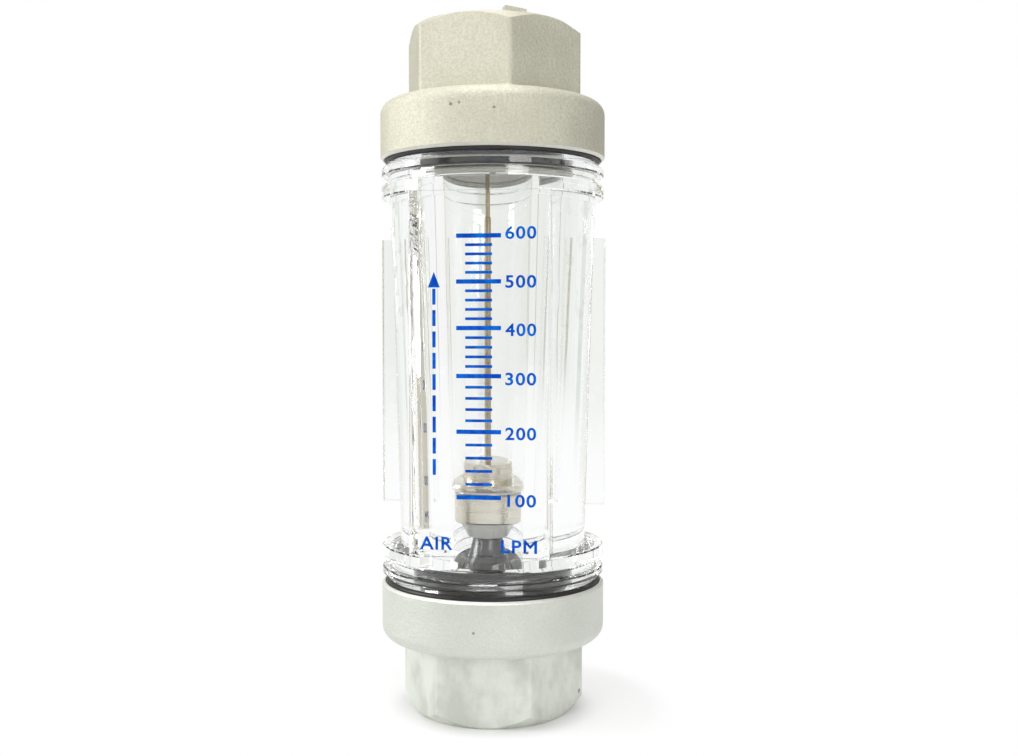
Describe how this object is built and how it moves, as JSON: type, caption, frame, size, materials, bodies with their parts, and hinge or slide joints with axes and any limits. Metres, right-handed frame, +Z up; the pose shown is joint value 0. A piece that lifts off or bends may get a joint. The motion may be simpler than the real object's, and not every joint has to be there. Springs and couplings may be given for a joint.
{
  "type": "in-line rotameter",
  "caption": "Clear variable-area flow meter with a guided steel float, side wings, a flat scale window and two cast hexagon pipe ends.",
  "frame": {"origin": "centre of the inlet fitting's end face, which the meter stands on", "axes": "+Z up along the flow axis from inlet to outlet, -Y out of the flat scale window"},
  "size_m": [0.0606, 0.06, 0.1835],
  "materials": {
    "inlet_casting": "sand-cast stainless steel, blasted",
    "outlet_casting": "sand-cast stainless steel, blasted",
    "clear_body": "clear moulded polycarbonate",
    "black_rubber": "nitrile rubber",
    "gasket_sheet": "white PTFE sheet",
    "holder_steel": "investment-cast stainless steel",
    "rod_steel": "drawn stainless steel",
    "fastener_steel": "stainless steel",
    "stop_plastic": "black acetal",
    "float_steel": "turned and polished stainless steel"
  },
  "bodies": {
    "meter": {"inlet_fitting": "inlet_casting", "outlet_fitting": "outlet_casting", "meter_body": "clear_body", "inlet_neck_seal": "black_rubber", "outlet_neck_seal": "black_rubber", "inlet_shoulder_seal": "black_rubber", "outlet_shoulder_seal": "black_rubber", "inlet_end_gasket": "gasket_sheet", "outlet_end_gasket": "gasket_sheet", "inlet_rod_holder": "holder_steel", "outlet_rod_holder": "holder_steel", "guide_rod": "rod_steel", "lower_float_stop": "stop_plastic", "lower_rod_nut": "fastener_steel", "lower_rod_washer": "fastener_steel", "upper_rod_nut": "fastener_steel", "upper_rod_washer": "fastener_steel"},
    "float": {"float_body": "float_steel"}
  },
  "joints": [
    {"name": "float_slide", "type": "slide", "parent": "meter", "child": "float", "axis": [0, 0, 1], "range_m": [0, 0.0768]}
  ]
}
